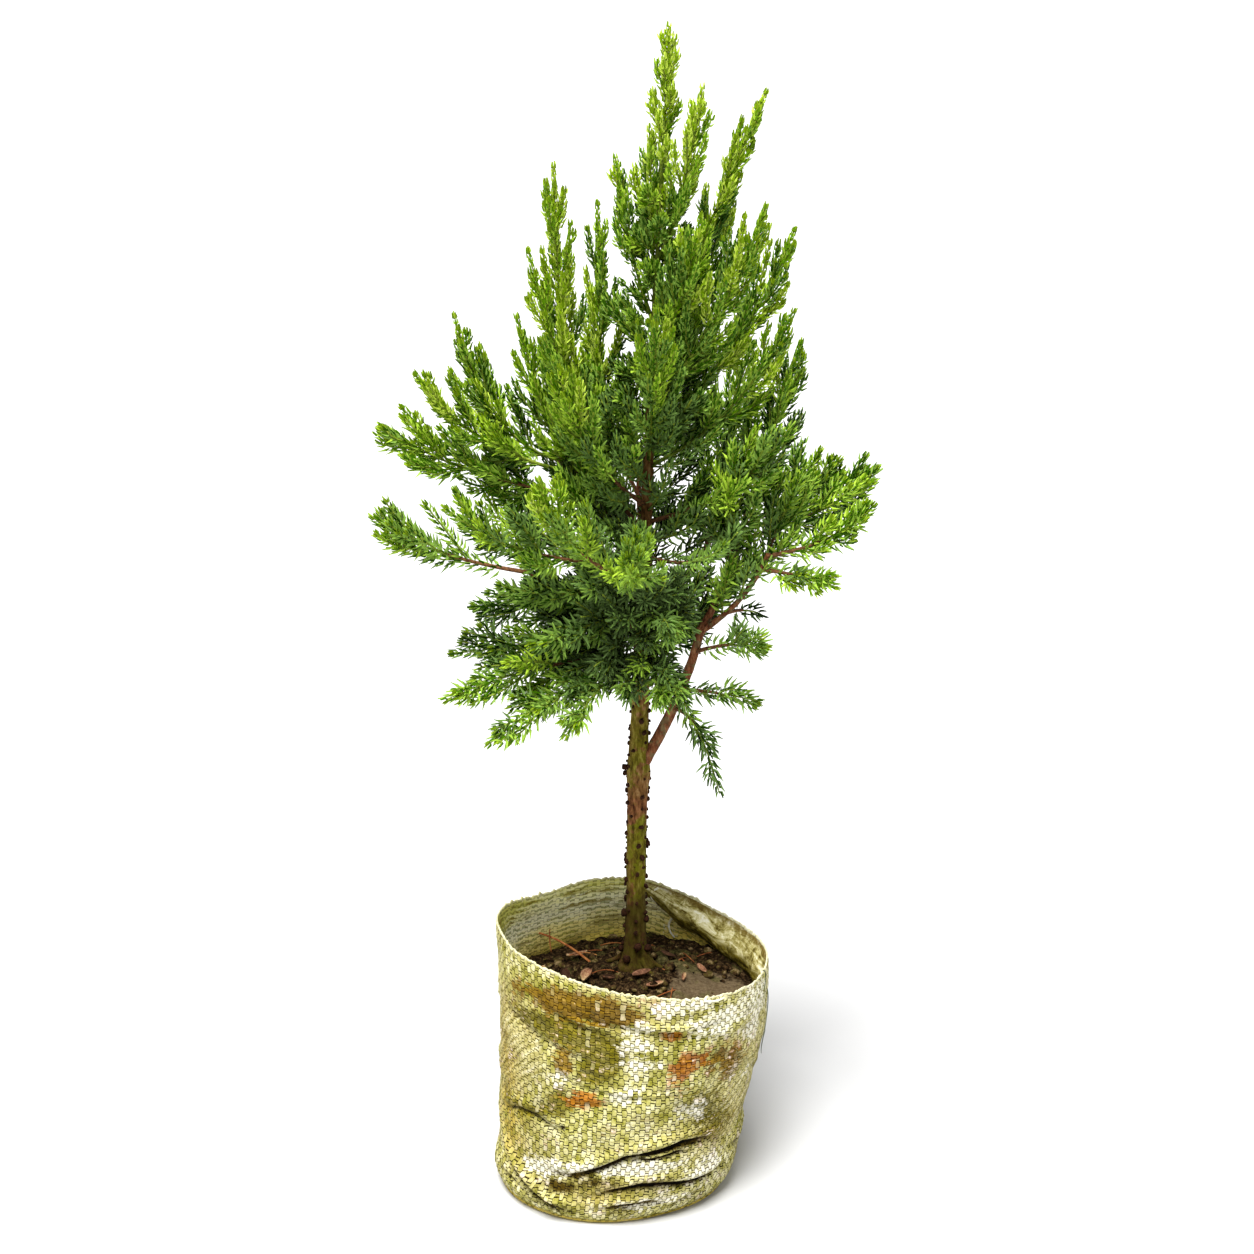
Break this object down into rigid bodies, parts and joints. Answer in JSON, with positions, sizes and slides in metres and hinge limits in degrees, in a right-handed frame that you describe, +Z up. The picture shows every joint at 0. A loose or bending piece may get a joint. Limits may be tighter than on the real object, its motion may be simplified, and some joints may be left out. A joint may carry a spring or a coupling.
{
  "type": "conifer sapling in a grow bag",
  "caption": "Young needle-leaved conifer with upswept plumes on one straight stem, standing in a slack bag of woven tape filled with soil.",
  "frame": {"origin": "middle of the bag's flat underside, on the ground", "axes": "+X to the right of the picture, -Y towards its viewer, +Z up along the stem"},
  "size_m": [0.3295, 0.2804, 0.803],
  "materials": {
    "woven_tape": "weathered woven tape, stained green and brown",
    "soil": "damp crumbly soil",
    "bark": "rough green-brown bark",
    "bough_bark": "flaking red-brown bark",
    "needles": "satin green needles"
  },
  "bodies": {
    "root": {"bough_back": "bough_bark", "bough_back_right": "bough_bark", "bough_front": "bough_bark", "bough_left": "bough_bark", "bough_left_upper": "bough_bark", "bough_right": "bough_bark", "bough_right_side": "bough_bark", "bough_right_upper": "bough_bark", "grow_bag": "woven_tape", "needles_back_left": "needles", "needles_back_low": "needles", "needles_back_low_left": "needles", "needles_back_right": "needles", "needles_back_right_high": "needles", "needles_fan_right": "needles", "needles_fan_right_front": "needles", "needles_fan_right_low": "needles", "needles_front_high": "needles", "needles_front_low": "needles", "needles_front_low_left": "needles", "needles_front_low_right": "needles", "needles_leader": "needles", "needles_left_fan": "needles", "needles_left_fan_tall": "needles", "needles_left_front": "needles", "needles_left_inner": "needles", "needles_left_low": "needles", "needles_left_low_front": "needles", "needles_left_middle": "needles", "needles_left_wing": "needles", "needles_right_inner": "needles", "needles_right_low": "needles", "needles_right_low_front": "needles", "needles_right_low_inner": "needles", "needles_right_mid": "needles", "needles_right_mid_front": "needles", "needles_right_tip": "needles", "needles_right_under": "needles", "needles_right_under_front": "needles", "needles_shoulder_left": "needles", "needles_spire_left": "needles", "needles_spire_right": "needles", "needles_top_back": "needles", "needles_top_left": "needles", "needles_top_right": "needles", "needles_twig_hanging": "needles", "needles_twig_right": "needles", "needles_under_back": "needles", "needles_under_back_right": "needles", "needles_under_front": "needles", "needles_under_front_left": "needles", "needles_under_front_right": "needles", "needles_under_left": "needles", "needles_under_left_back": "needles", "needles_under_left_front": "needles", "needles_upper_back": "needles", "needles_upper_front": "needles", "needles_upper_left": "needles", "root_ball": "soil", "trunk": "bark"}
  },
  "joints": []
}
